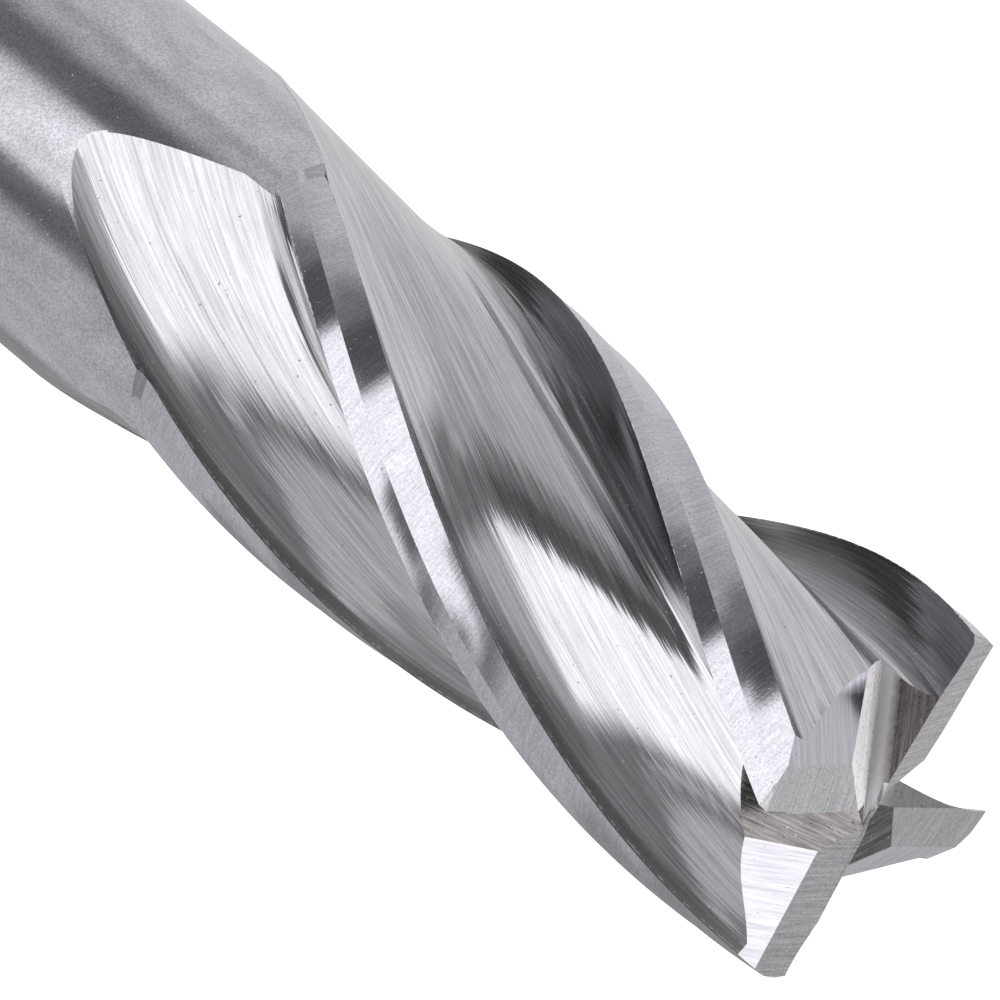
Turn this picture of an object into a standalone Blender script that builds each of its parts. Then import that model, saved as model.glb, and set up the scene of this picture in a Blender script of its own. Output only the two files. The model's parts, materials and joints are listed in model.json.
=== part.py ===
# Four-flute square end mill with a plain round shank, ground from one bar of steel.
# The origin is the middle of the shank's end face and +Z points to the cutting end.
# Teeth are numbered anticlockwise seen from the cutting end. Teeth 0 and 2 are the
# long pair, whose end edges run past the centre. Teeth 1 and 3 are the short pair.

import math

import bmesh
import bpy
import numpy as np

MM = 0.001

# Main sizes
DIAMETER = 12.0 * MM
OVERALL_LENGTH = 83.0 * MM
CUT_LENGTH = 26.5 * MM
HELIX_ANGLE = math.radians(29.4)
TEETH = 4

# Flute section, square to the axis
CORE_RATIO = 0.60
RAKE_ANGLE = math.radians(10.0)
ROOT_DEPTH_RATIO = 0.13
ROOT_TURN = math.radians(9.0)
FOOT_TURN = math.radians(1.4)
BACK_RISE_RATIO = 0.19
BACK_CURL_RATIO = 0.103
HEEL_WALL_TURN = math.radians(0.8)

# Ground lands behind each edge
PRIMARY_LAND = 0.78 * MM
PRIMARY_CLEARANCE = math.radians(8.0)
SECONDARY_LAND = 1.15 * MM
SECONDARY_CLEARANCE = math.radians(22.0)
LAND_STEP = 0.3 * MM

# Where the grinding wheel leaves the flute
RUN_OUT_RATIO = 0.285
RUN_OUT_SLANT = 1.76
RUN_OUT_EXTRA = 0.95 * MM
RUN_OUT_POWER = 2.15

# End teeth
END_DISH = math.radians(1.5)
END_PRIMARY_LAND = 1.45 * MM
END_PRIMARY_RELIEF = math.radians(8.0)
GASH_RAKE = math.radians(8.0)
GASH_END_LEAN = math.radians(25.0)
LONG_TOOTH = {"relief": math.radians(27.0), "ahead": 0.16 * MM, "inner": -0.6 * MM, "deep": 0.46 * MM,
              "dip": math.radians(26.6), "floor": math.radians(22.8)}
SHORT_TOOTH = {"relief": math.radians(32.0), "ahead": 0.08 * MM, "inner": 0.38 * MM, "deep": 0.46 * MM,
               "dip": math.radians(30.0), "floor": math.radians(33.0)}
CORNER_CHAMFER = 0.22 * MM

# Shank end
SHANK_CHAMFER = 0.8 * MM
CENTRE_HOLE = 2.8 * MM
CENTRE_PILOT = 1.3 * MM
CENTRE_PILOT_DEPTH = 3.4 * MM

RADIUS = DIAMETER / 2
CORE = RADIUS * CORE_RATIO
PITCH = 2 * math.pi / TEETH
TWIST = math.tan(HELIX_ANGLE) / RADIUS
ROWS_ALONG_FLUTE = 36
ROWS_BELOW_FLUTE = 9
HEEL_WALL_STEPS = 3
RAKE_STEPS = 3
TOP_SPARE = 0.3 * MM
CLEAR = 1.5 * MM


def clear_scene():
    for item in list(bpy.data.objects):
        bpy.data.objects.remove(item, do_unlink=True)


def steel(name, colour, roughness):
    material = bpy.data.materials.new(name)
    material.use_nodes = True
    shader = material.node_tree.nodes["Principled BSDF"]
    shader.inputs["Base Color"].default_value = (*colour, 1.0)
    shader.inputs["Roughness"].default_value = roughness
    shader.inputs["Metallic"].default_value = 1.0
    return material


# One tooth and the flute in front of it. Angles grow in the cutting direction
# from the tooth's own edge, so the land lies at negative angles.


def land_points():
    """The two flats behind the edge, from the heel to the edge, as radius and angle."""
    bend = np.array([RADIUS - PRIMARY_LAND * math.sin(PRIMARY_CLEARANCE),
                     -PRIMARY_LAND * math.cos(PRIMARY_CLEARANCE)])
    heel = bend - SECONDARY_LAND * np.array([math.sin(SECONDARY_CLEARANCE), math.cos(SECONDARY_CLEARANCE)])
    edge = np.array([RADIUS, 0.0])
    secondary = [heel + (bend - heel) * t for t in (0.0, 1 / 3, 2 / 3)]
    primary = [bend + (edge - bend) * t for t in (0.0, 0.5)]
    flats = np.array(secondary + primary + [edge])
    return np.hypot(flats[:, 0], flats[:, 1]), np.arctan2(flats[:, 1], flats[:, 0])


def root_points():
    """Quarter of an ellipse from the foot of the rake face to the floor of the flute."""
    foot = CORE * math.cos(ROOT_TURN) + RADIUS * ROOT_DEPTH_RATIO
    ahead = foot * math.tan(FOOT_TURN)
    turn = np.radians([0.0, 30.0, 60.0, 90.0])
    x = foot - RADIUS * ROOT_DEPTH_RATIO * np.sin(turn)
    y = ahead + (CORE * math.sin(ROOT_TURN) - ahead) * (1 - np.cos(turn))
    return np.hypot(x, y), np.arctan2(y, x)


def back_points(heel_turn):
    """The back of the next tooth: a gentle rise from the floor that curls up to its heel wall."""
    end = heel_turn - HEEL_WALL_TURN
    t = np.linspace(0.0, 1.0, 13)[1:] ** 0.7
    radius = CORE + RADIUS * (BACK_RISE_RATIO * t + BACK_CURL_RATIO * t ** 8)
    return radius, ROOT_TURN + (end - ROOT_TURN) * t


def run_out_lift(drop, turn):
    """How far the flute's floor has risen, from the depth below the end and the turn from the edge."""
    start = RUN_OUT_RATIO * CUT_LENGTH
    slant = RUN_OUT_SLANT * RADIUS
    reach = CUT_LENGTH + RUN_OUT_EXTRA - slant * ROOT_TURN - start
    past = np.maximum(drop - slant * turn - start, 0.0)
    return (RADIUS - CORE) * (past / reach) ** RUN_OUT_POWER


def run_out_drop(radius, turn):
    """Depth below the end at which a flute point at this radius reaches the outside of the bar."""
    start = RUN_OUT_RATIO * CUT_LENGTH
    slant = RUN_OUT_SLANT * RADIUS
    reach = CUT_LENGTH + RUN_OUT_EXTRA - slant * ROOT_TURN - start
    return start + slant * turn + reach * ((RADIUS - radius) / (RADIUS - CORE)) ** (1 / RUN_OUT_POWER)


def root_columns(drop, root_radius, root_turn):
    """The root fillet, which flattens in the same share as the floor nears the outside of the bar."""
    lift = run_out_lift(drop, root_turn)
    share = lift / (RADIUS - CORE)
    return np.minimum(CORE + lift + (root_radius - CORE) * np.maximum(1 - share, 0.0), RADIUS)


def rake_columns(drop, foot_radius, foot_turn, steps):
    """The hollow rake face, from the edge down to the foot, which rises as the flute runs out."""
    t = np.arange(1, steps + 1) / (steps + 0.7)
    height = (RADIUS - root_columns(drop, foot_radius, foot_turn))[:, None]
    radius = RADIUS - height * t
    hollow = height * t * (1 - t) * math.tan(RAKE_ANGLE) / radius
    share = 0.4 + 0.6 * height / (RADIUS - foot_radius)
    return radius, foot_turn * t * share - hollow


def heel_wall_columns(drop, back_radius, back_turn, heel_radius, share):
    """The short wall from the flute's back up to the heel of the next tooth, at these shares of its width."""
    back = np.minimum(back_radius + run_out_lift(drop, back_turn), RADIUS)
    heel = np.interp(drop, [CUT_LENGTH - LAND_STEP, CUT_LENGTH], [heel_radius, RADIUS])
    return back + (heel - back) * share


def tooth_grid():
    """Radius, turn and drop for one tooth and its flute, rows from the bar to the end, columns across."""
    land_radius, land_turn = land_points()
    root_radius, root_turn = root_points()
    back_radius, back_turn = back_points(PITCH + land_turn[0])
    share = np.arange(1, HEEL_WALL_STEPS) / HEEL_WALL_STEPS

    root_start = run_out_drop(CORE, root_turn)
    back_start = run_out_drop(back_radius, back_turn)
    wall_start = back_start[-1] + (CUT_LENGTH - back_start[-1]) * share
    start = np.concatenate([np.full(len(land_turn), CUT_LENGTH), np.full(RAKE_STEPS, root_start[0]),
                            root_start, back_start, wall_start])
    start[len(land_turn) - 1] = (CUT_LENGTH + root_start[0]) / 2

    t = np.concatenate([[0.0], LAND_STEP / CUT_LENGTH + (1 - LAND_STEP / CUT_LENGTH)
                        * np.linspace(0.0, 1.0, ROWS_ALONG_FLUTE)])[:, None]
    drop = start + (-TOP_SPARE - start) * t

    radius = np.empty(drop.shape)
    turn = np.empty(drop.shape)
    lands = slice(0, len(land_turn))
    rake = slice(lands.stop, lands.stop + RAKE_STEPS)
    root = slice(rake.stop, rake.stop + len(root_turn))
    back = slice(root.stop, root.stop + len(back_turn))
    wall = slice(back.stop, None)
    radius[:, lands] = land_radius
    turn[:, lands] = land_turn
    radius[0, lands] = RADIUS
    radius[:, rake], turn[:, rake] = rake_columns(drop[:, rake.start], root_radius[0], root_turn[0], RAKE_STEPS)
    radius[:, root] = root_columns(drop[:, root], root_radius, root_turn)
    turn[:, root] = root_turn
    radius[:, back] = np.minimum(back_radius + run_out_lift(drop[:, back], back_turn), RADIUS)
    turn[:, back] = back_turn
    radius[:, wall] = heel_wall_columns(drop[:, wall], back_radius[-1], back_turn[-1], land_radius[0], share)
    turn[:, wall] = back_turn[-1] + HEEL_WALL_TURN * share
    radius[0, root.start:] = RADIUS
    return radius, turn, drop


def below_flute(turn, drop):
    """Rows on the plain bar that lead each column from a level ring up to where its flute begins."""
    level = drop[0].max() + 1.5 * MM
    t = np.linspace(0.0, 1.0, ROWS_BELOW_FLUTE + 1)[:-1, None]
    even = level + (drop[0] - level) * t
    return np.full(even.shape, RADIUS), np.repeat(turn[:1], len(even), axis=0), even


def body_rings():
    """Points of every ring of the tool, from the shank's end to just past the teeth."""
    radius, turn, drop = tooth_grid()
    low_radius, low_turn, low_drop = below_flute(turn, drop)
    radius = np.vstack([low_radius, radius])
    turn = np.vstack([low_turn, turn])
    drop = np.vstack([low_drop, drop])

    angle = [turn + k * PITCH - drop * TWIST for k in range(TEETH)]
    angle = np.hstack(angle)
    radius = np.hstack([radius] * TEETH)
    height = OVERALL_LENGTH - np.hstack([drop] * TEETH)

    foot = angle[:1]
    bottom = [(CENTRE_PILOT / 2, CENTRE_PILOT_DEPTH),
              (CENTRE_PILOT / 2, (CENTRE_HOLE - CENTRE_PILOT) / 2 / math.tan(math.radians(30.0))),
              (CENTRE_HOLE / 2, 0.0), (RADIUS - SHANK_CHAMFER, 0.0), (RADIUS, SHANK_CHAMFER)]
    angle = np.vstack([foot] * len(bottom) + [angle])
    radius = np.vstack([np.full(foot.shape, r) for r, _ in bottom] + [radius])
    height = np.vstack([np.full(foot.shape, z) for _, z in bottom] + [height])
    return np.stack([radius * np.cos(angle), radius * np.sin(angle), height], axis=2)


def make_body(material):
    rings = body_rings()
    rows, columns = rings.shape[:2]
    mesh = bpy.data.meshes.new("end_mill")
    faces = []
    for j in range(rows - 1):
        for i in range(columns):
            k = (i + 1) % columns
            faces.append((j * columns + i, j * columns + k, (j + 1) * columns + k, (j + 1) * columns + i))
    faces.append(tuple(range(columns - 1, -1, -1)))
    faces.append(tuple((rows - 1) * columns + i for i in range(columns)))
    mesh.from_pydata(rings.reshape(-1, 3).tolist(), [], faces)
    mesh.materials.append(material)
    mesh.validate()
    body = bpy.data.objects.new("end_mill", mesh)
    bpy.context.scene.collection.objects.link(body)
    return body


# Cutters for the end teeth. Each is made for tooth 0, whose edge lies along +X
# and cuts towards +Y, then turned to its own tooth.


def make_cutter(name, corners, faces, tooth, holder):
    mesh = bpy.data.meshes.new(name)
    mesh.from_pydata([tuple(c) for c in corners], [], faces)
    shape = bmesh.new()
    shape.from_mesh(mesh)
    bmesh.ops.recalc_face_normals(shape, faces=shape.faces)
    shape.to_mesh(mesh)
    shape.free()
    cutter = bpy.data.objects.new(name, mesh)
    cutter.location.z = OVERALL_LENGTH
    cutter.rotation_euler.z = tooth * PITCH
    cutter.hide_render = True
    cutter.display_type = "WIRE"
    holder.objects.link(cutter)
    return cutter


def relief_cutter(name, tooth, behind, slope, holder):
    """Everything above a plane that drops away behind the edge, over this tooth's quarter of the end."""
    reach = 1.4 * RADIUS
    overlap = 0.05 * RADIUS
    plan = [(-overlap, 1.6 * overlap), (reach, 1.6 * overlap), (reach, -reach),
            (0.22 * reach, -reach), (0.0, -overlap)]
    crease = -behind * math.tan(END_PRIMARY_RELIEF)
    low = [(x, y, crease - (RADIUS - x) * math.tan(END_DISH) + (y + behind) * math.tan(slope)) for x, y in plan]
    high = [(x, y, CLEAR) for x, y in plan]
    count = len(plan)
    sides = [(i, (i + 1) % count, count + (i + 1) % count, count + i) for i in range(count)]
    faces = sides + [tuple(range(count)), tuple(range(count, 2 * count))]
    return make_cutter(name, low + high, faces, tooth, holder)


def gash_cutter(name, tooth, gash, holder):
    """A V-shaped notch in front of the end edge: a steep rake wall, a sloping floor and an inner end."""
    dip = math.tan(gash["dip"])
    floor = math.tan(gash["floor"])
    rake = math.tan(GASH_RAKE)

    def section(x, lean):
        z = -(gash["deep"] + dip * x) / (1 - floor * rake)
        bottom = (x, gash["ahead"] + rake * z, z)
        top_x = x + lean * (CLEAR - z)
        wall_top = (top_x, gash["ahead"] + rake * CLEAR, CLEAR)
        rise = CLEAR + gash["deep"] + dip * top_x
        floor_top = (top_x, gash["ahead"] + rise / floor, CLEAR)
        return [bottom, wall_top, floor_top]

    corners = section(gash["inner"], -math.tan(GASH_END_LEAN)) + section(1.6 * RADIUS, 0.0)
    faces = [(0, 1, 2), (3, 4, 5), (0, 3, 4, 1), (1, 4, 5, 2), (2, 5, 3, 0)]
    return make_cutter(name, corners, faces, tooth, holder)


def corner_cutter(holder):
    """A ring that breaks the sharp outer corners of the teeth at 45 degrees."""
    spare = CORNER_CHAMFER + CLEAR
    profile = [(RADIUS - CORNER_CHAMFER - 0.1 * MM, 0.1 * MM), (RADIUS + spare, 0.1 * MM),
               (RADIUS + spare, -CORNER_CHAMFER - spare)]
    steps = 96
    corners = []
    for k in range(steps):
        turn = 2 * math.pi * k / steps
        corners += [(r * math.cos(turn), r * math.sin(turn), z) for r, z in profile]
    faces = []
    for k in range(steps):
        n = (k + 1) % steps
        for i in range(3):
            j = (i + 1) % 3
            faces.append((3 * k + i, 3 * n + i, 3 * n + j, 3 * k + j))
    return make_cutter("corner_break", corners, faces, 0, holder)


def cut_end_teeth(body):
    holder = bpy.data.collections.new("end_cutters")
    bpy.context.scene.collection.children.link(holder)
    for tooth in range(TEETH):
        form = LONG_TOOTH if tooth % 2 == 0 else SHORT_TOOTH
        relief_cutter(f"primary_relief_{tooth}", tooth, 0.0, END_PRIMARY_RELIEF, holder)
        relief_cutter(f"secondary_relief_{tooth}", tooth, END_PRIMARY_LAND, form["relief"], holder)
        gash_cutter(f"gash_{tooth}", tooth, form, holder)
    corner_cutter(holder)
    cut = body.modifiers.new("End teeth", "BOOLEAN")
    cut.operation = "DIFFERENCE"
    cut.operand_type = "COLLECTION"
    cut.collection = holder
    cut.solver = "EXACT"


clear_scene()
ground_steel = steel("ground_steel", (0.62, 0.62, 0.64), 0.28)
end_mill = make_body(ground_steel)
cut_end_teeth(end_mill)
end_mill.data.shade_smooth()
end_mill.data.set_sharp_from_angle(angle=math.radians(24.0))
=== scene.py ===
import json
import math

import bmesh
import bpy
import numpy as np
from mathutils import Matrix, Vector

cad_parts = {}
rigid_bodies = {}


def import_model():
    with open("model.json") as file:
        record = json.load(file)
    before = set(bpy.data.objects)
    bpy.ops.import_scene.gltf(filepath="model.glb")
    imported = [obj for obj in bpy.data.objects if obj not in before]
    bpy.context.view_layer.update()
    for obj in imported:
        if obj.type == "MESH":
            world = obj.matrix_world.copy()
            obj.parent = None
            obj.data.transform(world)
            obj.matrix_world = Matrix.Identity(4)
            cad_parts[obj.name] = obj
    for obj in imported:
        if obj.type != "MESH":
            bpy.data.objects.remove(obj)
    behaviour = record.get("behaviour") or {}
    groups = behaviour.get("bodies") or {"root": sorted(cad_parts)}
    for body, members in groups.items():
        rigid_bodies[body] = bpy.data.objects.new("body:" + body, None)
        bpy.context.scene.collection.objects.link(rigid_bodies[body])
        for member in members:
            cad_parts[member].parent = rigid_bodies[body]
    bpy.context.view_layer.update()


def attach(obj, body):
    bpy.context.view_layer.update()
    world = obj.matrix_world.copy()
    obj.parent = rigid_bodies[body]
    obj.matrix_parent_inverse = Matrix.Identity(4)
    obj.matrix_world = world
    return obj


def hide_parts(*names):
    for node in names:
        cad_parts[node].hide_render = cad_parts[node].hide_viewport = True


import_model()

# All the sizes below are in millimetres and degrees, and points are scaled to metres when a mesh is made.
mm = 0.001
bar = {"radius": 6.0, "length": 83.0, "chamfer": 0.8, "hole": 1.4, "holeAngle": 30, "pilot": 0.65,
       "pilotDepth": 3.4, "spare": 0.3, "lead": 1.5}
flute = {"teeth": 4, "length": 26.5, "helix": 29.4, "core": 3.6, "rake": 10.0, "rakeShare": 0.3,
         "rootDepth": 0.78, "rootTurn": 9.0, "footTurn": 1.4, "rise": 1.14, "curl": 0.62, "wallTurn": 0.8,
         "leave": 7.55, "slant": 10.56, "extra": 0.95, "power": 2.15}
land = {"primary": 0.78, "primaryClearance": 8.0, "secondary": 1.15, "secondaryClearance": 22.0, "step": 0.3}
# the floors are the gash floor looks of the four teeth: the shaded one is painted shade, the lit one is
# painted light, and the brown is the floor's own colour
endTeeth = {"dish": 1.5, "land": 1.45, "relief": 8.0, "rake": 8.0, "lean": 25.0, "corner": 0.22,
            "floors": ("paintedShadeFloor", "brownFloor", "paintedLightFloor", "brownFloor")}
longTooth = {"relief": 27.0, "ahead": 0.16, "inner": -0.6, "deep": 0.46, "dip": 26.6, "floor": 22.8,
             "marks": 0}
shortTooth = {"relief": 32.0, "ahead": 0.08, "inner": 0.38, "deep": 0.46, "dip": 30.0, "floor": 33.0,
              "marks": -9}
# into how many steps each part of the body is divided
steps = {"secondary": 7, "primary": 5, "rake": 12, "root": 14, "back": 44, "heel": 6, "cut": 169,
         "lead": 24, "shank": 39, "corner": 240}

# twist is the turn per millimetre of height, pitch the turn from one tooth to the next
twist = math.tan(math.radians(flute["helix"])) / bar["radius"]
pitch = 2 * math.pi / flute["teeth"]


# The body of the tool

def landProfile():
    # two flats behind the edge: x falls by width * sin(clearance), y goes back by width * cos(clearance)
    first = math.radians(land["primaryClearance"])
    second = math.radians(land["secondaryClearance"])
    edge = np.array([bar["radius"], 0.0])
    bend = edge - land["primary"] * np.array([math.sin(first), math.cos(first)])
    heel = bend - land["secondary"] * np.array([math.sin(second), math.cos(second)])
    outer = heel + (bend - heel) * np.linspace(0, 1, steps["secondary"] + 1)[:-1, None]
    inner = bend + (edge - bend) * np.linspace(0, 1, steps["primary"] + 1)[:, None]
    flats = np.vstack([outer, inner])
    behind = np.hypot(flats[:, 0] - edge[0], flats[:, 1])
    return np.hypot(flats[:, 0], flats[:, 1]), np.arctan2(flats[:, 1], flats[:, 0]), behind


def rootProfile():
    # quarter ellipse from the foot of the rake face to the floor
    turnEnd = math.radians(flute["rootTurn"])
    foot = flute["core"] * math.cos(turnEnd) + flute["rootDepth"]
    ahead = foot * math.tan(math.radians(flute["footTurn"]))
    t = np.linspace(0, math.pi / 2, steps["root"] + 1)
    x = foot - flute["rootDepth"] * np.sin(t)
    y = ahead + (flute["core"] * math.sin(turnEnd) - ahead) * (1 - np.cos(t))
    return np.hypot(x, y), np.arctan2(y, x)


def backProfile(heelTurn):
    # radius = core + rise * t + curl * t^8 up to the foot of the next heel wall, with finer steps at its end
    first = math.radians(flute["rootTurn"])
    last = heelTurn - math.radians(flute["wallTurn"])
    t = np.linspace(0, 1, steps["back"] + 1)[1:] ** 0.8
    return flute["core"] + flute["rise"] * t + flute["curl"] * t ** 8, first + (last - first) * t


def runOutReach():
    # length + extra - slant * root turn - leave: how far the floor takes to rise out of the bar
    rootSlant = flute["slant"] * math.radians(flute["rootTurn"])
    return flute["length"] + flute["extra"] - rootSlant - flute["leave"]


def runOutLift(drop, turn):
    # the floor rises by (radius - core) * (distance past the leaving line / reach) ^ power
    past = np.maximum(drop - flute["slant"] * turn - flute["leave"], 0)
    return (bar["radius"] - flute["core"]) * (past / runOutReach()) ** flute["power"]


def runOutDrop(radius, turn):
    # the depth at which a point of the floor has risen to the outside: the lift above, solved for drop
    left = (bar["radius"] - radius) / (bar["radius"] - flute["core"])
    return flute["leave"] + flute["slant"] * turn + runOutReach() * left ** (1 / flute["power"])


def rootLift(radius, drop, turn):
    # the root fillet flattens in the same share as the floor nears the outside of the bar
    lift = runOutLift(drop, turn)
    left = np.maximum(1 - lift / (bar["radius"] - flute["core"]), 0)
    return np.minimum(flute["core"] + lift + (radius - flute["core"]) * left, bar["radius"])


def toothGrid(rows):
    # radius, turn and drop of one tooth with the flute in front of it, and the distance from the edge:
    # each column runs from its own run-out depth, start, to a little past the end, in equal shares
    landRadius, landTurn, behind = landProfile()
    rootRadius, rootTurn = rootProfile()
    backRadius, backTurn = backProfile(pitch + landTurn[0])
    rake = steps["rake"]
    lands = len(landTurn)
    rootStart = runOutDrop(flute["core"], rootTurn)
    backStart = runOutDrop(backRadius, backTurn)
    heelShare = np.arange(1, steps["heel"]) / steps["heel"]
    heelStart = backStart[-1] + (flute["length"] - backStart[-1]) * heelShare
    landStart = np.full(lands, flute["length"])
    start = np.concatenate([landStart, np.full(rake, rootStart[0]), rootStart, backStart, heelStart])
    start[lands - 1] = (flute["length"] + rootStart[0]) / 2
    share = land["step"] / flute["length"]
    t = np.concatenate([[0.0], share + (1 - share) * np.linspace(0, 1, rows)])[:, None]
    drop = start + (-bar["spare"] - start) * t

    radius = np.empty(drop.shape)
    turn = np.empty(drop.shape)
    radius[:, :lands] = landRadius
    turn[:, :lands] = landTurn
    radius[0, :lands] = bar["radius"]
    # the rake face hangs from the edge to the lifted floor: hollow = height * s * (1 - s) * tan(rake),
    # and the rest of its turn goes with s and with the height that is left of the face
    face = slice(lands, lands + rake)
    lastGap = 0.6
    s = np.arange(1, rake + 1) / (rake + lastGap)
    height = bar["radius"] - rootLift(rootRadius[0], drop[:, face], rootTurn[0])
    radius[:, face] = bar["radius"] - height * s
    hollow = height * s * (1 - s) * math.tan(math.radians(flute["rake"])) / radius[:, face]
    heightShare = (1 - flute["rakeShare"]) * height / (bar["radius"] - rootRadius[0])
    turn[:, face] = rootTurn[0] * s * (flute["rakeShare"] + heightShare) - hollow
    root = slice(face.stop, face.stop + len(rootTurn))
    radius[:, root] = rootLift(rootRadius, drop[:, root], rootTurn)
    turn[:, root] = rootTurn
    back = slice(root.stop, root.stop + len(backTurn))
    radius[:, back] = np.minimum(backRadius + runOutLift(drop[:, back], backTurn), bar["radius"])
    turn[:, back] = backTurn
    # the heel wall goes straight from the end of the back to the heel of the next tooth
    wall = slice(back.stop, None)
    backEnd = np.minimum(backRadius[-1] + runOutLift(drop[:, wall], backTurn[-1]), bar["radius"])
    landDrops = [flute["length"] - land["step"], flute["length"]]
    heel = np.interp(drop[:, wall], landDrops, [landRadius[0], bar["radius"]])
    radius[:, wall] = backEnd + (heel - backEnd) * heelShare
    turn[:, wall] = backTurn[-1] + math.radians(flute["wallTurn"]) * heelShare
    radius[0, lands + rake:] = bar["radius"]

    x = radius[-1, lands - 1:] * np.cos(turn[-1, lands - 1:])
    y = radius[-1, lands - 1:] * np.sin(turn[-1, lands - 1:])
    ahead = np.concatenate([[0.0], np.cumsum(np.hypot(np.diff(x), np.diff(y)))])
    return radius, turn, drop, np.concatenate([behind[:-1], ahead]), lands


def bodyArrays():
    # rings from the shank's end to just past the teeth, with the material and grain of every face
    radius, turn, drop, across, lands = toothGrid(steps["cut"] + 1)
    level = drop[0].max() + bar["lead"]
    t = np.linspace(0, 1, steps["lead"] + 1)[:-1, None]
    lead = level + (drop[0] - level) * t
    shank = np.linspace(bar["length"] - bar["chamfer"], level, steps["shank"] + 1)[:-1, None] + 0 * drop[:1]
    below = np.vstack([shank, lead])
    radius = np.vstack([np.full(below.shape, bar["radius"]), radius])
    turn = np.vstack([np.repeat(turn[:1], len(below), axis=0), turn])
    drop = np.vstack([below, drop])
    belowRows = len(below)

    # the columns follow the helix in the flutes and lie straight along the plain shank
    angle = np.hstack([turn + k * pitch - np.minimum(drop, level) * twist for k in range(flute["teeth"])])
    radius = np.hstack([radius] * flute["teeth"])
    height = bar["length"] - np.hstack([drop] * flute["teeth"])
    coneTop = (bar["hole"] - bar["pilot"]) / math.tan(math.radians(bar["holeAngle"]))
    ends = [(bar["pilot"], bar["pilotDepth"]), (bar["pilot"], coneTop), (bar["hole"], 0.0),
            (bar["radius"] - bar["chamfer"], 0.0)]
    foot = angle[:1]
    angle = np.vstack([foot] * len(ends) + [angle])
    radius = np.vstack([np.full(foot.shape, r) for r, z in ends] + [radius])
    height = np.vstack([np.full(foot.shape, z) for r, z in ends] + [height])
    points = np.stack([radius * np.cos(angle), radius * np.sin(angle), height], axis=2)
    return points, angle, np.tile(across, flute["teeth"]), lands, len(ends) + belowRows


def gridFaces(rows, columns):
    # each four-cornered face joins column i to the next one round, and row j to the row above
    j, i = np.meshgrid(np.arange(rows - 1), np.arange(columns), indexing="ij")
    low = j * columns
    high = low + columns
    k = (i + 1) % columns
    return np.stack([low + i, low + k, high + k, high + i], axis=2).reshape(-1, 4)


def makeBody(materials):
    # the grid of points closed by two caps; the grain map holds the way along the marks and across them
    points, angle, across, lands, belowRows = bodyArrays()
    rows, columns = points.shape[:2]
    quads = gridFaces(rows, columns)
    mesh = bpy.data.meshes.new("endMill")
    caps = [list(range(columns - 1, -1, -1)), [(rows - 1) * columns + i for i in range(columns)]]
    mesh.from_pydata((points.reshape(-1, 3) * mm).tolist(), [], quads.tolist() + caps)

    perTooth = columns // flute["teeth"]
    column = np.arange(len(quads)) % columns % perTooth
    row = np.arange(len(quads)) // columns
    kind = np.where(column < steps["secondary"], 2, np.where(column < lands - 1, 1, 3))
    kind = np.where(row < belowRows, 0, kind)
    mesh.polygons.foreach_set("material_index", np.concatenate([kind, [0, 4]]).astype(np.int32))
    for material in materials:
        mesh.materials.append(material)

    # the corners 1 and 2 of a face belong to the next column, which for the last one is column 0 again
    j, i = np.divmod(quads, columns)
    rightSide = np.array([False, True, True, False])
    lastColumn = np.arange(len(quads)) % columns == columns - 1
    pastSeam = rightSide & lastColumn[:, None]
    around = angle[j, i] * bar["radius"] + pastSeam * 2 * math.pi * bar["radius"]
    along = points[j, i, 2]
    lengthwise = along / math.cos(math.radians(flute["helix"]))
    distance = across[i]
    heelSide = rightSide & (column[:, None] == perTooth - 1)
    wallWidth = 0.1
    distance = np.where(heelSide, across[perTooth - 1] + wallWidth, distance)
    ground = (kind == 0)[:, None]
    u = np.where(ground, along, lengthwise)
    v = np.where(ground, around, distance)
    grain = np.stack([u, v], axis=2).reshape(-1, 2)
    spare = sum(len(c) for c in caps)
    layer = mesh.uv_layers.new(name="grain")
    layer.data.foreach_set("uv", np.vstack([grain, np.zeros((spare, 2))]).astype(np.float32).ravel())
    mesh.update()
    body = bpy.data.objects.new("endMill", mesh)
    bpy.context.scene.collection.objects.link(body)
    return body


# Cutters for the end teeth. Each is made for tooth 0, whose edge lies along +X and cuts towards +Y, with
# z = 0 at the end of the tool, and is then turned to its own tooth.

# the top of every cutter, how far a ring or notch stays clear, and the shift of the marks between teeth
cutter = {"top": 1.5, "clear": 0.1, "markShift": 7.3, "sharpAngle": 13}


def makeCutter(name, corners, faces, tooth, holder, materials, marks):
    # corners are turned by tooth * pitch and lifted to the end of the bar; marks holds the way of the
    # grinding marks on each face; the first material goes on the first face, the last on all the rest
    corners = np.array(corners, float)
    turn = tooth * pitch
    spin = np.array([[math.cos(turn), -math.sin(turn), 0], [math.sin(turn), math.cos(turn), 0], [0, 0, 1]])
    placed = corners @ spin.T + [0, 0, bar["length"]]
    mesh = bpy.data.meshes.new(name)
    mesh.from_pydata((placed * mm).tolist(), [], [list(f) for f in faces])
    for material in materials:
        mesh.materials.append(material)
    for k in range(len(faces)):
        mesh.polygons[k].material_index = min(k, len(materials) - 1)
    # the grain lies in the plane of each face: u runs along the marks and v across them
    grain = []
    for face, way in zip(faces, marks):
        flat = corners[list(face)]
        normal = np.cross(flat[1] - flat[0], flat[2] - flat[0])
        normal /= np.linalg.norm(normal)
        along = np.array(way, float) - np.dot(way, normal) * normal
        along /= np.linalg.norm(along)
        off = flat - corners[0]
        u = off @ along + tooth * cutter["markShift"]
        grain.append(np.column_stack([u, off @ np.cross(normal, along)]))
    layer = mesh.uv_layers.new(name="grain")
    layer.data.foreach_set("uv", np.vstack(grain).astype(np.float32).ravel())
    shape = bmesh.new()
    shape.from_mesh(mesh)
    bmesh.ops.recalc_face_normals(shape, faces=shape.faces)
    shape.to_mesh(mesh)
    shape.free()
    holder.objects.link(bpy.data.objects.new(name, mesh))


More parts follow.
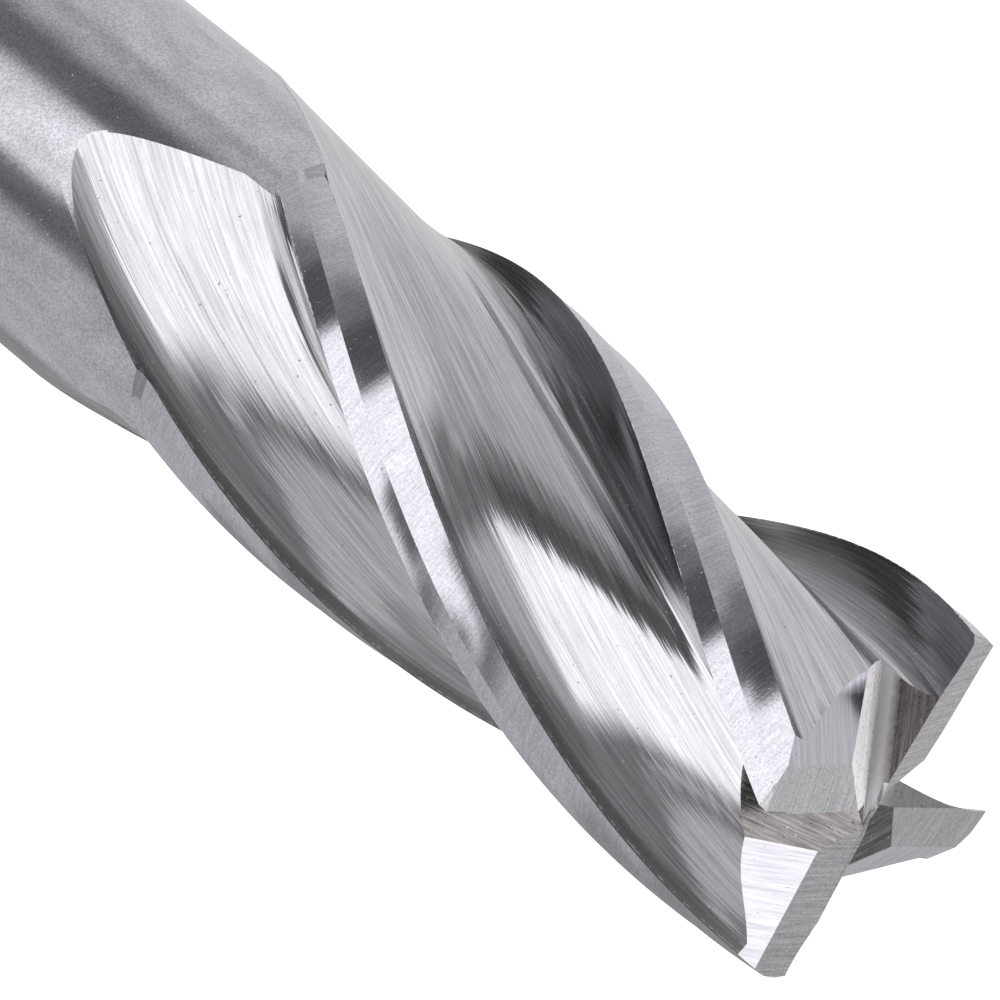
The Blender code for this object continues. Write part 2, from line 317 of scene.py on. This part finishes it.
def reliefCutter(name, tooth, behind, slope, holder, material):
    # all that lies above z = crease - (radius - x) * tan(dish) + (y + behind) * tan(slope)
    # over a plan that runs from the tool's middle to past its outside and stays behind the edge
    radius = bar["radius"]
    reach = 1.4 * radius
    front = 0.08 * radius
    plan = np.array([(-0.2, front), (reach, front), (reach, -reach), (0.22 * reach, -reach), (0.0, -0.3)])
    crease = -behind * math.tan(math.radians(endTeeth["relief"]))
    z = (crease - (radius - plan[:, 0]) * math.tan(math.radians(endTeeth["dish"]))
         + (plan[:, 1] + behind) * math.tan(math.radians(slope)))
    count = len(plan)
    tops = np.full(count, cutter["top"])
    corners = np.vstack([np.column_stack([plan, z]), np.column_stack([plan, tops])])
    sides = [(i, (i + 1) % count, count + (i + 1) % count, count + i) for i in range(count)]
    faces = [tuple(range(count)), tuple(range(count, 2 * count))] + sides
    marks = [(-0.1, 1, 0)] * 2 + [(1, 1, 0)] * count
    makeCutter(name, corners, faces, tooth, holder, [material], marks)


def gashCutter(name, tooth, form, holder, wall, ground):
    # a V notch: its valley lies at z = -(deep + dip * x) / (1 - floor * rake), the wall leans back by
    # z * tan(rake) and the floor rises ahead of it by tan(floor)
    dip = math.tan(math.radians(form["dip"]))
    floor = math.tan(math.radians(form["floor"]))
    rake = math.tan(math.radians(endTeeth["rake"]))

    def section(x, lean):
        z = -(form["deep"] + dip * x) / (1 - floor * rake)
        top = cutter["top"]
        topX = x + lean * (top - z)
        rise = top + form["deep"] + dip * topX
        return [(x, form["ahead"] + rake * z, z), (topX, form["ahead"] + rake * top, top),
                (topX, form["ahead"] + rise / floor, top)]

    inner = section(form["inner"], -math.tan(math.radians(endTeeth["lean"])))
    outer = section(1.6 * bar["radius"], 0.0)
    corners = inner + outer
    # faces: wall, floor, then the rest; the valley from corner 0 to 3 is where v is zero on both
    valley = np.subtract(corners[3], corners[0])
    across = math.tan(math.radians(form["marks"]))
    faces = [(0, 3, 4, 1), (0, 2, 5, 3), (1, 4, 5, 2), (0, 1, 2), (3, 4, 5)]
    marks = [valley, valley + across * np.array([0, 1, floor]), valley, (0, 1, 0), (0, 1, 0)]
    makeCutter(name, corners, faces, tooth, holder, [wall, ground], marks)


def cornerCutter(holder, material):
    # a ring that breaks the outer corners of the teeth at 45 degrees: its cone falls as fast as it widens
    spare = endTeeth["corner"] + cutter["top"]
    clear = cutter["clear"]
    profile = [(bar["radius"] - endTeeth["corner"] - clear, clear), (bar["radius"] + spare, clear),
               (bar["radius"] + spare, -endTeeth["corner"] - spare)]
    corners = []
    for k in range(steps["corner"]):
        turn = 2 * math.pi * k / steps["corner"]
        corners += [(r * math.cos(turn), r * math.sin(turn), z) for r, z in profile]
    faces = []
    for k in range(steps["corner"]):
        n = (k + 1) % steps["corner"]
        faces += [(3 * k + i, 3 * n + i, 3 * n + (i + 1) % 3, 3 * k + (i + 1) % 3) for i in range(3)]
    makeCutter("cornerBreak", corners, faces, 0, holder, [material], [(1, 1, 0)] * len(faces))


def cutEndTeeth(body, looks):
    # takes the relief, gash and corner cutters of all the teeth away from the body in one difference
    holder = bpy.data.collections.new("endCutters")
    bpy.context.scene.collection.children.link(holder)
    for tooth in range(flute["teeth"]):
        form = longTooth if tooth % 2 == 0 else shortTooth
        floorLook = looks[endTeeth["floors"][tooth]]
        reliefCutter("primary%d" % tooth, tooth, 0.0, endTeeth["relief"], holder, looks["endLand"])
        reliefCutter("secondary%d" % tooth, tooth, endTeeth["land"], form["relief"], holder,
                     looks["endRelief"])
        gashCutter("gash%d" % tooth, tooth, form, holder, looks["gashWall"], floorLook)
    cornerCutter(holder, looks["endLand"])
    cut = body.modifiers.new("End teeth", "BOOLEAN")
    cut.operation = "DIFFERENCE"
    cut.operand_type = "COLLECTION"
    cut.collection = holder
    cut.solver = "EXACT"
    cut.material_mode = "TRANSFER"
    bpy.context.view_layer.update()
    shape = body.evaluated_get(bpy.context.evaluated_depsgraph_get())
    done = bpy.data.meshes.new_from_object(shape)
    body.modifiers.clear()
    body.data = done
    for used in list(holder.objects):
        bpy.data.objects.remove(used, do_unlink=True)
    bpy.data.collections.remove(holder)
    done.shade_smooth()
    done.set_sharp_from_angle(angle=math.radians(cutter["sharpAngle"]))


# Surfaces. The tones are colours, and the numbers of a ramp's stops are shares of the noise.

tones = {"scratch": (0.95, 0.94, 0.98), "pit": (0.09, 0.08, 0.085), "dust": (0.8, 0.8, 0.8),
         "cool": (0.97, 0.985, 1.0), "warm": (1.0, 0.975, 0.995)}
micron = 1e-6


def addNode(tree, kind, **values):
    # a new node with its settings
    node = tree.nodes.new(kind)
    for name, value in values.items():
        setattr(node, name, value)
    return node


def mathNode(tree, operation, first, second=None, third=None, clamp=False):
    # a sum on up to three numbers or sockets
    node = addNode(tree, "ShaderNodeMath", operation=operation, use_clamp=clamp)
    for socket, value in zip(node.inputs, (first, second, third)):
        if value is None:
            continue
        if isinstance(value, (int, float)):
            socket.default_value = value
        else:
            tree.links.new(value, socket)
    return node.outputs[0]


def rampNode(tree, value, stops):
    # colours or grey levels between the stops (place, level)
    ramp = addNode(tree, "ShaderNodeValToRGB")
    elements = ramp.color_ramp.elements
    while len(elements) < len(stops):
        elements.new(0.5)
    for element, (place, level) in zip(elements, stops):
        element.position = place
        element.color = (level, level, level, 1) if isinstance(level, (int, float)) else (*level, 1)
    tree.links.new(value, ramp.inputs[0])
    return ramp.outputs[0]


def noiseNode(tree, vector, detail, roughness=0.5):
    # noise with one cell per unit of the vector
    noise = addNode(tree, "ShaderNodeTexNoise", noise_dimensions="3D")
    noise.inputs["Scale"].default_value = 1.0
    noise.inputs["Detail"].default_value = detail
    noise.inputs["Roughness"].default_value = roughness
    tree.links.new(vector, noise.inputs["Vector"])
    return noise.outputs["Fac"]


def newGroup(name, inputs, outputs):
    # a node group with named number sockets, and its input and output node
    group = bpy.data.node_groups.new(name, "ShaderNodeTree")
    for label, value in inputs:
        socket = group.interface.new_socket(name=label, in_out="INPUT", socket_type="NodeSocketFloat")
        socket.default_value = value
    for label in outputs:
        group.interface.new_socket(name=label, in_out="OUTPUT", socket_type="NodeSocketFloat")
    return group, addNode(group, "NodeGroupInput"), addNode(group, "NodeGroupOutput")


def grindingLines():
    # noise stretched along the marks: the grain map is turned by tilt, then scaled along and across;
    # a scratch is where the thin noise passes 0.62
    group, start, end = newGroup("grinding lines", [("Along", 0.3), ("Across", 9.0), ("Tilt", 0.0)],
                                 ["Lines", "Ridges", "Streaks", "Scratches", "Distance"])
    grain = addNode(group, "ShaderNodeUVMap", uv_map="grain")
    turned = addNode(group, "ShaderNodeVectorRotate", rotation_type="Z_AXIS")
    group.links.new(grain.outputs[0], turned.inputs["Vector"])
    group.links.new(start.outputs["Tilt"], turned.inputs["Angle"])
    parts = addNode(group, "ShaderNodeSeparateXYZ")
    group.links.new(turned.outputs[0], parts.inputs[0])
    joined = addNode(group, "ShaderNodeCombineXYZ")
    for axis, factor in (("X", "Along"), ("Y", "Across")):
        stretched = mathNode(group, "MULTIPLY", parts.outputs[axis], start.outputs[factor])
        group.links.new(stretched, joined.inputs[axis])

    def scaled(x, y, z):
        node = addNode(group, "ShaderNodeVectorMath", operation="MULTIPLY_ADD")
        group.links.new(joined.outputs[0], node.inputs[0])
        node.inputs[1].default_value = (x, y, 1)
        node.inputs[2].default_value = (0, 0, z)
        return node.outputs[0]

    group.links.new(noiseNode(group, scaled(1, 1, 0), 6, 0.72), end.inputs["Lines"])
    group.links.new(noiseNode(group, scaled(1, 1, 0), 2), end.inputs["Ridges"])
    group.links.new(noiseNode(group, scaled(0.35, 0.35, 4), 3), end.inputs["Streaks"])
    thin = noiseNode(group, scaled(0.7, 2.2, 9), 2)
    sharp = mathNode(group, "SUBTRACT", thin, 0.62)
    group.links.new(mathNode(group, "MULTIPLY", sharp, 9.0, clamp=True), end.inputs["Scratches"])
    flat = addNode(group, "ShaderNodeSeparateXYZ")
    group.links.new(grain.outputs[0], flat.inputs[0])
    group.links.new(flat.outputs["Y"], end.inputs["Distance"])
    return group


def objectNoise(group, perMillimetre, offset, detail, roughness=0.5):
    # noise at object coordinates * 1000 * per millimetre + offset
    place = addNode(group, "ShaderNodeTexCoord")
    scaled = addNode(group, "ShaderNodeVectorMath", operation="SCALE")
    group.links.new(place.outputs["Object"], scaled.inputs[0])
    group.links.new(mathNode(group, "MULTIPLY", perMillimetre, 1 / mm), scaled.inputs["Scale"])
    moved = addNode(group, "ShaderNodeVectorMath", operation="ADD")
    group.links.new(scaled.outputs[0], moved.inputs[0])
    moved.inputs[1].default_value = (offset, offset * 0.7, offset * 1.3)
    return noiseNode(group, moved.outputs[0], detail, roughness)


def specks():
    # spots where noise on the object's own millimetres rises above 1 - share: dark pits and pale dust.
    # Grain is finer noise, broad one cell in seven millimetres.
    group, start, end = newGroup("specks", [("Per millimetre", 3.0), ("Share", 0.3)],
                                 ["Pits", "Dust", "Grain", "Broad"])
    limit = mathNode(group, "SUBTRACT", 1.0, start.outputs["Share"])
    for label, offset in (("Pits", 0), ("Dust", 31)):
        noise = objectNoise(group, start.outputs["Per millimetre"], offset, 2)
        over = mathNode(group, "SUBTRACT", noise, limit)
        group.links.new(mathNode(group, "MULTIPLY", over, 16.0, clamp=True), end.inputs[label])
    finer = mathNode(group, "MULTIPLY", start.outputs["Per millimetre"], 1.4)
    group.links.new(objectNoise(group, finer, 12, 3), end.inputs["Grain"])
    group.links.new(objectNoise(group, 0.14, 20, 2), end.inputs["Broad"])
    return group


def edgeBurr():
    # ragged band: 1 where the distance from the place is below 0.4 * reach + 0.25 * (noise - 0.5)
    # millimetres; it lays real burrs and also painted shade and painted light
    group, start, end = newGroup("burrs and painted light bands", [("Distance", 1.0), ("Place", 0.0), ("Reach", 0.08)], ["Burr"])
    offset = mathNode(group, "SUBTRACT", start.outputs["Distance"], start.outputs["Place"])
    away = mathNode(group, "ABSOLUTE", offset)
    ragged = objectNoise(group, 5.0, 5, 5, 0.6)
    wander = mathNode(group, "MULTIPLY", mathNode(group, "SUBTRACT", ragged, 0.5), 0.25)
    allowed = mathNode(group, "MULTIPLY_ADD", start.outputs["Reach"], 0.4, wander)
    inside = mathNode(group, "SUBTRACT", allowed, away)
    sharp = mathNode(group, "DIVIDE", 5.0, start.outputs["Reach"])
    group.links.new(mathNode(group, "MULTIPLY", inside, sharp, clamp=True), end.inputs["Burr"])
    return group


linesGroup = grindingLines()
specksGroup = specks()
burrAndPaintedLightGroup = edgeBurr()


def useGroup(tree, group, **values):
    # the group as a node, with some of its inputs set
    node = addNode(tree, "ShaderNodeGroup", node_tree=group)
    for name, value in values.items():
        node.inputs[name].default_value = value
    return node


def mixColour(tree, factor, under, over, blend="MIX"):
    # under * (1 - factor) + over * factor, or their product, from sockets, colours or numbers
    mix = addNode(tree, "ShaderNodeMix", data_type="RGBA", blend_type=blend)
    for socket, value in ((mix.inputs["Factor"], factor), (mix.inputs[6], under), (mix.inputs[7], over)):
        if isinstance(value, (int, float)):
            socket.default_value = value
        elif isinstance(value, tuple):
            socket.default_value = (*value, 1)
        else:
            tree.links.new(value, socket)
    return mix.outputs[2]


def groundSteel(name, look):
    # tone = lines * streaks * grain * warmth * painted rake shade, then scratches, pits, dust and bands over
    # it, the bands being burrs, painted shade and painted light; metal = 1 - the larger of dust, matt and the
    # bands' matt share; bump from ridges, grain and streaks
    material = bpy.data.materials.new(name)
    material.use_nodes = True
    tree = material.node_tree
    shader = tree.nodes["Principled BSDF"]
    lines = useGroup(tree, linesGroup, Along=look["along"], Across=look["across"],
                     Tilt=math.radians(look["tilt"]))
    spots = useGroup(tree, specksGroup)
    spots.inputs["Per millimetre"].default_value = look["spotScale"]
    spots.inputs["Share"].default_value = look["spotShare"]

    contrast = look["contrast"]
    dark = tuple(c * (1 - contrast) for c in look["colour"])
    bright = tuple(min(1, c * (1 + contrast * 0.35)) for c in look["colour"])
    tone = rampNode(tree, lines.outputs["Lines"], [(0.36, dark), (0.62, bright)])
    streakTone = rampNode(tree, lines.outputs["Streaks"], [(0.35, 1 - look["streak"]), (0.62, 1.0)])
    tone = mixColour(tree, 1.0, tone, streakTone, "MULTIPLY")
    grainTone = rampNode(tree, spots.outputs["Grain"], [(0.35, 1 - look["grain"]), (0.6, 1.0)])
    tone = mixColour(tree, 1.0, tone, grainTone, "MULTIPLY")
    warmth = rampNode(tree, spots.outputs["Broad"], [(0.35, tones["cool"]), (0.68, tones["warm"])])
    tone = mixColour(tree, 1.0, tone, warmth, "MULTIPLY")
    # painted shade: the rake face is painted darker than the back, and its tone rises to full over the foot
    # of the face
    shade = addNode(tree, "ShaderNodeMapRange", interpolation_type="SMOOTHSTEP")
    tree.links.new(lines.outputs["Distance"], shade.inputs["Value"])
    shade.inputs["From Min"].default_value = look["rakeFoot"] - 0.5
    shade.inputs["From Max"].default_value = look["rakeFoot"] + 0.3
    shade.inputs["To Min"].default_value = look["rakePaintedShade"]
    shade.inputs["To Max"].default_value = 1
    tone = mixColour(tree, 1.0, tone, shade.outputs[0], "MULTIPLY")
    scratch = mathNode(tree, "MULTIPLY", lines.outputs["Scratches"], look["scratch"])
    tone = mixColour(tree, scratch, tone, tones["scratch"])
    pits = mathNode(tree, "MULTIPLY", spots.outputs["Pits"], look["pits"])
    tone = mixColour(tree, pits, tone, tones["pit"])
    dust = mathNode(tree, "MULTIPLY", spots.outputs["Dust"], look["dust"])
    tone = mixColour(tree, dust, tone, tones["dust"])
    rough = mathNode(tree, "MULTIPLY", lines.outputs["Lines"], look["roughSpread"])
    rough = mathNode(tree, "ADD", rough, look["roughness"] - 0.5 * look["roughSpread"])
    rough = mathNode(tree, "ADD", rough, mathNode(tree, "MULTIPLY", spots.outputs["Pits"], 0.3))
    dull = mathNode(tree, "MAXIMUM", dust, look["matt"])
    for place, reach, level, amount, matt in look["bands"]:
        band = useGroup(tree, burrAndPaintedLightGroup, Place=place, Reach=reach)
        tree.links.new(lines.outputs["Distance"], band.inputs["Distance"])
        share = mathNode(tree, "MULTIPLY", band.outputs[0], amount)
        tone = mixColour(tree, share, tone, (level, level, level * 1.02))
        rough = mathNode(tree, "ADD", rough, mathNode(tree, "MULTIPLY", share, 0.2))
        dull = mathNode(tree, "MAXIMUM", dull, mathNode(tree, "MULTIPLY", share, matt))
    tree.links.new(tone, shader.inputs["Base Color"])
    tree.links.new(mathNode(tree, "ADD", rough, 0.0, clamp=True), shader.inputs["Roughness"])
    tree.links.new(mathNode(tree, "SUBTRACT", 1.0, dull, clamp=True), shader.inputs["Metallic"])
    wave = mathNode(tree, "MULTIPLY", lines.outputs["Streaks"], look["wave"])
    height = mathNode(tree, "MULTIPLY_ADD", spots.outputs["Grain"], look["pebble"], lines.outputs["Ridges"])
    height = mathNode(tree, "ADD", height, wave)
    bump = addNode(tree, "ShaderNodeBump")
    bump.inputs["Strength"].default_value = 1
    bump.inputs["Distance"].default_value = look["bump"] * micron
    tree.links.new(height, bump.inputs["Height"])
    tree.links.new(bump.outputs[0], shader.inputs["Normal"])
    return material


# Along, across and spotScale are noise cells per millimetre, and bump is in micrometres. Ragged bands are
# (distance from the cutting edge, reach, level, amount, matt share). The heel of a land lies at the width
# of both lands, the heel wall of a flute at the far end of its grain map, and a gash's valley at zero.
landWidth = land["primary"] + land["secondary"]
fluteWidth = float(toothGrid(8)[3][-1])
rakeFoot = bar["radius"] - flute["core"] - flute["rootDepth"]
edgeBand = (0, 0.03, 0.8, 0.7, 0.6)
# the first heel band is painted shade, a broad dark band along the curled heel wall; the second is a thin
# pale burr on the heel
heelShadeAndBurrBands = [(fluteWidth, 0.9, 0.3, 0.8, 0), (fluteWidth, 0.04, 0.7, 0.35, 0.5)]
steelBase = {"colour": (0.875, 0.86, 0.925), "along": 0.22, "across": 11.0, "tilt": 0, "contrast": 0.36,
             "streak": 0.14, "grain": 0.06, "scratch": 0.4, "pits": 0.7, "dust": 0.45, "spotScale": 9.0,
             "spotShare": 0.285, "roughness": 0.1, "roughSpread": 0.1, "bump": 3.8, "pebble": 0.05,
             "wave": 3.6, "matt": 0, "rakeFoot": 0, "rakePaintedShade": 1, "bands": []}
landLook = {**steelBase, "along": 15.0, "across": 0.8, "contrast": 0.18, "streak": 0.06, "scratch": 0.1,
            "bump": 1.0, "grain": 0.2, "pebble": 0.8, "roughness": 0.12, "wave": 0}
endLook = {**steelBase, "along": 0.45, "across": 13.0, "contrast": 0.36, "scratch": 0.5, "bump": 1.5,
           "roughness": 0.18, "wave": 0.4}
gashLook = {**endLook, "contrast": 0.6, "across": 9.0, "bump": 3, "spotShare": 0.34}
shankLook = {**steelBase, "colour": (0.9, 0.895, 0.95), "along": 1.5, "across": 3.0, "contrast": 0.06,
             "grain": 0.3, "scratch": 0, "roughness": 0.12, "roughSpread": 0.03, "bump": 1.0,
             "pebble": 1.0, "wave": 0, "dust": 0.6}
secondLook = {**landLook, "tilt": 8, "bands": [(landWidth, 0.02, 0.15, 0.7, 0)]}
# painted shade: the flute's rake face is painted at half tone up to its foot
fluteLook = {**steelBase, "colour": (0.895, 0.89, 0.965), "contrast": 0.33, "rakeFoot": rakeFoot,
             "rakePaintedShade": 0.5, "bands": heelShadeAndBurrBands + [edgeBand]}
endLandLook = {**endLook, "colour": (0.94, 0.93, 0.98), "contrast": 0.3, "grain": 0.25}
# painted light: a pale, matt copy of the gash floor
paintedLightGashLook = {**gashLook, "colour": (0.97, 0.96, 0.96), "contrast": 0.3, "matt": 1, "roughness": 0.3,
            "spotShare": 0.38, "dust": 0}
# the brown floor's ragged band at its valley is painted light
brownLook = {**gashLook, "colour": (0.8, 0.755, 0.735), "scratch": 0.7, "roughness": 0.22,
             "bands": [(0, 0.9, 0.95, 0.7, 0.5)]}
# painted shade: the gash wall is painted near black, and its ragged band at the valley is painted light that
# makes it lighter there
paintedShadeWallLook = {**gashLook, "colour": (0.2, 0.185, 0.19), "scratch": 0.12, "spotShare": 0.37, "dust": 0.12,
            "roughness": 0.26, "bands": [(0, 2.0, 0.75, 0.8, 0.6)]}
looks = {
    "shank": groundSteel("satin shank", shankLook),
    "primary": groundSteel("first land", {**landLook, "bands": [edgeBand]}),
    "secondary": groundSteel("second land", secondLook),
    "flute": groundSteel("flute", fluteLook),
    "endLand": groundSteel("end land", endLandLook),
    "endRelief": groundSteel("end relief", {**endLook, "contrast": 0.24, "grain": 0.05}),
    "paintedLightFloor": groundSteel("gash floor, painted light", paintedLightGashLook),
    # painted shade: a darker copy of the gash floor
    "paintedShadeFloor": groundSteel("gash floor, painted shade", {**gashLook, "colour": (0.5, 0.49, 0.5), "scratch": 0.7}),
    "brownFloor": groundSteel("brown gash floor", brownLook),
    "gashWall": groundSteel("gash wall", paintedShadeWallLook),
}
print("steel surfaces made")
endMill = makeBody([looks[n] for n in ("shank", "primary", "secondary", "flute", "endLand")])
print("fluted bar made", len(endMill.data.polygons))
cutEndTeeth(endMill, looks)
print("end teeth cut", len(endMill.data.polygons))
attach(endMill, "root")
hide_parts("end_mill")


# Camera, solved from the photo

view = {"lens": 258.29, "sensor": 36, "place": (-64.79, -173.63, 176.33),
        "right": (-0.4539, 0.5908, 0.6670), "forward": (0.3005, 0.8062, -0.5097)}


def makeCamera():
    # up is square to right and forward, and right is then set square to both
    camera = bpy.data.cameras.new("camera")
    camera.lens = view["lens"]
    camera.sensor_width = view["sensor"]
    camera.clip_start = 0.01
    camera.clip_end = 20
    holder = bpy.data.objects.new("camera", camera)
    bpy.context.scene.collection.objects.link(holder)
    forward = Vector(view["forward"]).normalized()
    up = Vector(view["right"]).normalized().cross(forward).normalized()
    right = forward.cross(up)
    turn = Matrix((right, up, -forward)).transposed().to_4x4()
    holder.matrix_world = Matrix.Translation(Vector(view["place"]) * mm) @ turn
    bpy.context.scene.camera = holder


makeCamera()


# Studio: white surroundings with large soft boxes, a pale floor and one soft lamp. The levels are those
# of the surroundings for reflections, for all other light and for the camera. Lengths are in metres.

levels = {"reflected": 0.48, "light": 0.85, "camera": 1.0}
disc = {"radius": 1.2, "corners": 96, "lift": 0.25}
lamp = {"azimuth": 160, "elevation": 62, "away": 0.8, "size": 0.5, "power": 2.5}


def direction(azimuth, elevation):
    # the unit vector towards a place in the surroundings
    a, e = math.radians(azimuth), math.radians(elevation)
    return Vector((math.cos(a) * math.cos(e), math.sin(a) * math.cos(e), math.sin(e)))


def softBoxGroup():
    # a rectangle seen around a centre direction: level inside, fading over the softness at its sides
    group = bpy.data.node_groups.new("soft box", "ShaderNodeTree")
    for name in ("Centre", "Right", "Up"):
        group.interface.new_socket(name=name, in_out="INPUT", socket_type="NodeSocketVector")
    for name in ("Half width", "Half height", "Softness"):
        group.interface.new_socket(name=name, in_out="INPUT", socket_type="NodeSocketFloat")
    group.interface.new_socket(name="Mask", in_out="OUTPUT", socket_type="NodeSocketFloat")
    start = addNode(group, "NodeGroupInput")
    end = addNode(group, "NodeGroupOutput")
    place = addNode(group, "ShaderNodeTexCoord")

    def along(axis):
        dot = addNode(group, "ShaderNodeVectorMath", operation="DOT_PRODUCT")
        group.links.new(place.outputs["Generated"], dot.inputs[0])
        group.links.new(start.outputs[axis], dot.inputs[1])
        return dot.outputs["Value"]

    depth = mathNode(group, "MAXIMUM", along("Centre"), 0.001)
    mask = mathNode(group, "GREATER_THAN", depth, 0.002)
    for axis, half in (("Right", "Half width"), ("Up", "Half height")):
        off = mathNode(group, "ABSOLUTE", mathNode(group, "DIVIDE", along(axis), depth))
        left = mathNode(group, "SUBTRACT", start.outputs[half], off)
        side = mathNode(group, "DIVIDE", left, start.outputs["Softness"])
        fade = addNode(group, "ShaderNodeMapRange", interpolation_type="SMOOTHSTEP")
        group.links.new(side, fade.inputs["Value"])
        fade.inputs["From Min"].default_value = -0.5
        fade.inputs["From Max"].default_value = 0.5
        mask = mathNode(group, "MULTIPLY", mask, fade.outputs[0])
    group.links.new(mask, end.inputs["Mask"])
    return group


# What stands around the tool, laid over each other in this order: where it is seen from the tool
# (azimuth, elevation, roll), its half width and half height, the softness of its sides, all in
# degrees, and its level
def card(what, azimuth, elevation, roll, width, height, soft, level):
    return {"what": what, "azimuth": azimuth, "elevation": elevation, "roll": roll, "width": width,
            "height": height, "soft": soft, "level": level}


cards = [
    card("table", 40, -90, 30, 35, 50, 10, 0.08),
    card("table left", 150, -55, -40, 35, 10, 10, 0.35),
    card("table right", 80, -70, 40, 20, 15, 10, 0.55),
    card("left wall", -155, -20, -45, 30, 15, 10, 0.2),
    card("main soft box", -95, -20, 10, 45, 15, 5, 1.2),
    card("dark gap", -80, -60, -10, 10, 30, 10, 0.1),
    card("front card", -65, -45, -5, 30, 5, 5, 0.85),
    card("ceiling left", -130, 20, -5, 65, 15, 10, 0.15),
    card("dark card", -65, 5, 55, 20, 20, 10, 0.2),
    card("top soft box", -20, 80, 5, 25, 20, 10, 1.1),
    card("right wall", 10, 25, -20, 40, 40, 10, 0.25),
    card("right card", 30, -25, -25, 35, 15, 10, 0.3),
    card("back soft box", 125, -25, 15, 45, 15, 5, 0.65),
    card("table edge", -170, -55, -50, 25, 5, 10, 0.25),
    card("back card", 160, -25, 15, 35, 5, 10, 0.45),
    card("right gap", -50, -15, 0, 5, 15, 10, 0.2),
    card("low gap", -70, -30, 0, 10, 5, 5, 0.15),
    card("left gap", -145, -25, 0, 10, 10, 5, 0.1),
    card("low right", 0, -35, 0, 20, 10, 10, 0.5),
    card("back low", 145, -35, 0, 25, 10, 10, 0.6),
    card("small top box", 20, 70, 0, 10, 10, 5, 1.3),
    card("behind the teeth", 170, 60, 0, 10, 10, 5, 0.6),
    card("over the back teeth", 95, 20, 0, 20, 15, 10, 0.6),
]


def makeWorld():
    # level = under * (1 - mask) + card level * mask, card after card, and only reflections see it
    world = bpy.data.worlds.new("studio")
    bpy.context.scene.world = world
    world.use_nodes = True
    tree = world.node_tree
    group = softBoxGroup()
    level = levels["reflected"]
    for box in cards:
        centre = direction(box["azimuth"], box["elevation"])
        upright = Vector((0, 0, 1)) if abs(box["elevation"]) < 89 else Vector((0, -1, 0))
        right = upright.cross(centre).normalized()
        up = centre.cross(right).normalized()
        turn = Matrix.Rotation(math.radians(box["roll"]), 3, centre)
        mask = useGroup(tree, group)
        mask.inputs["Centre"].default_value = centre
        mask.inputs["Right"].default_value = turn @ right
        mask.inputs["Up"].default_value = turn @ up
        mask.inputs["Half width"].default_value = math.tan(math.radians(box["width"]))
        mask.inputs["Half height"].default_value = math.tan(math.radians(box["height"]))
        mask.inputs["Softness"].default_value = math.tan(math.radians(box["soft"]))
        blend = addNode(tree, "ShaderNodeMix", data_type="FLOAT")
        tree.links.new(mask.outputs[0], blend.inputs["Factor"])
        if isinstance(level, float):
            blend.inputs[2].default_value = level
        else:
            tree.links.new(level, blend.inputs[2])
        blend.inputs[3].default_value = box["level"]
        level = blend.outputs[0]
    path = addNode(tree, "ShaderNodeLightPath")
    plain = addNode(tree, "ShaderNodeMix", data_type="FLOAT")
    tree.links.new(path.outputs["Is Glossy Ray"], plain.inputs["Factor"])
    plain.inputs[2].default_value = levels["light"]
    tree.links.new(level, plain.inputs[3])
    seen = addNode(tree, "ShaderNodeMix", data_type="FLOAT")
    tree.links.new(path.outputs["Is Camera Ray"], seen.inputs["Factor"])
    tree.links.new(plain.outputs[0], seen.inputs[2])
    seen.inputs[3].default_value = levels["camera"]
    back = tree.nodes["Background"]
    back.inputs["Color"].default_value = (1, 1, 1, 1)
    tree.links.new(seen.outputs[0], back.inputs["Strength"])


def makeFloor():
    # a pale disc under the tool; the camera sees it lifted to white, and it keeps the tool's shadow
    mesh = bpy.data.meshes.new("floor")
    turn = np.linspace(0, 2 * np.pi, disc["corners"] + 1)[:-1]
    rim = disc["radius"] * np.stack([np.cos(turn), np.sin(turn), 0 * turn], axis=1)
    mesh.from_pydata(rim.tolist(), [], [list(range(disc["corners"]))])
    floor = bpy.data.objects.new("floor", mesh)
    bpy.context.scene.collection.objects.link(floor)
    material = bpy.data.materials.new("pale floor")
    material.use_nodes = True
    tree = material.node_tree
    shader = tree.nodes["Principled BSDF"]
    shader.inputs["Base Color"].default_value = (0.9, 0.9, 0.9, 1)
    shader.inputs["Roughness"].default_value = 0.9
    shader.inputs["Specular IOR Level"].default_value = 0
    shader.inputs["Emission Color"].default_value = (1, 1, 1, 1)
    path = addNode(tree, "ShaderNodeLightPath")
    lift = mathNode(tree, "MULTIPLY", path.outputs["Is Camera Ray"], disc["lift"])
    tree.links.new(lift, shader.inputs["Emission Strength"])
    mesh.materials.append(material)
    floor.visible_glossy = False


def makeLamp():
    # a soft round lamp that faces the foot of the tool and shows in no reflection
    light = bpy.data.lights.new("soft lamp", "AREA")
    light.shape = "DISK"
    light.size = lamp["size"]
    light.energy = lamp["power"]
    holder = bpy.data.objects.new("soft lamp", light)
    bpy.context.scene.collection.objects.link(holder)
    towards = direction(lamp["azimuth"], lamp["elevation"])
    holder.location = towards * lamp["away"]
    holder.rotation_euler = towards.to_track_quat("Z", "Y").to_euler()
    holder.visible_glossy = False


makeWorld()
makeFloor()
makeLamp()
bpy.context.scene.view_settings.view_transform = "Standard"
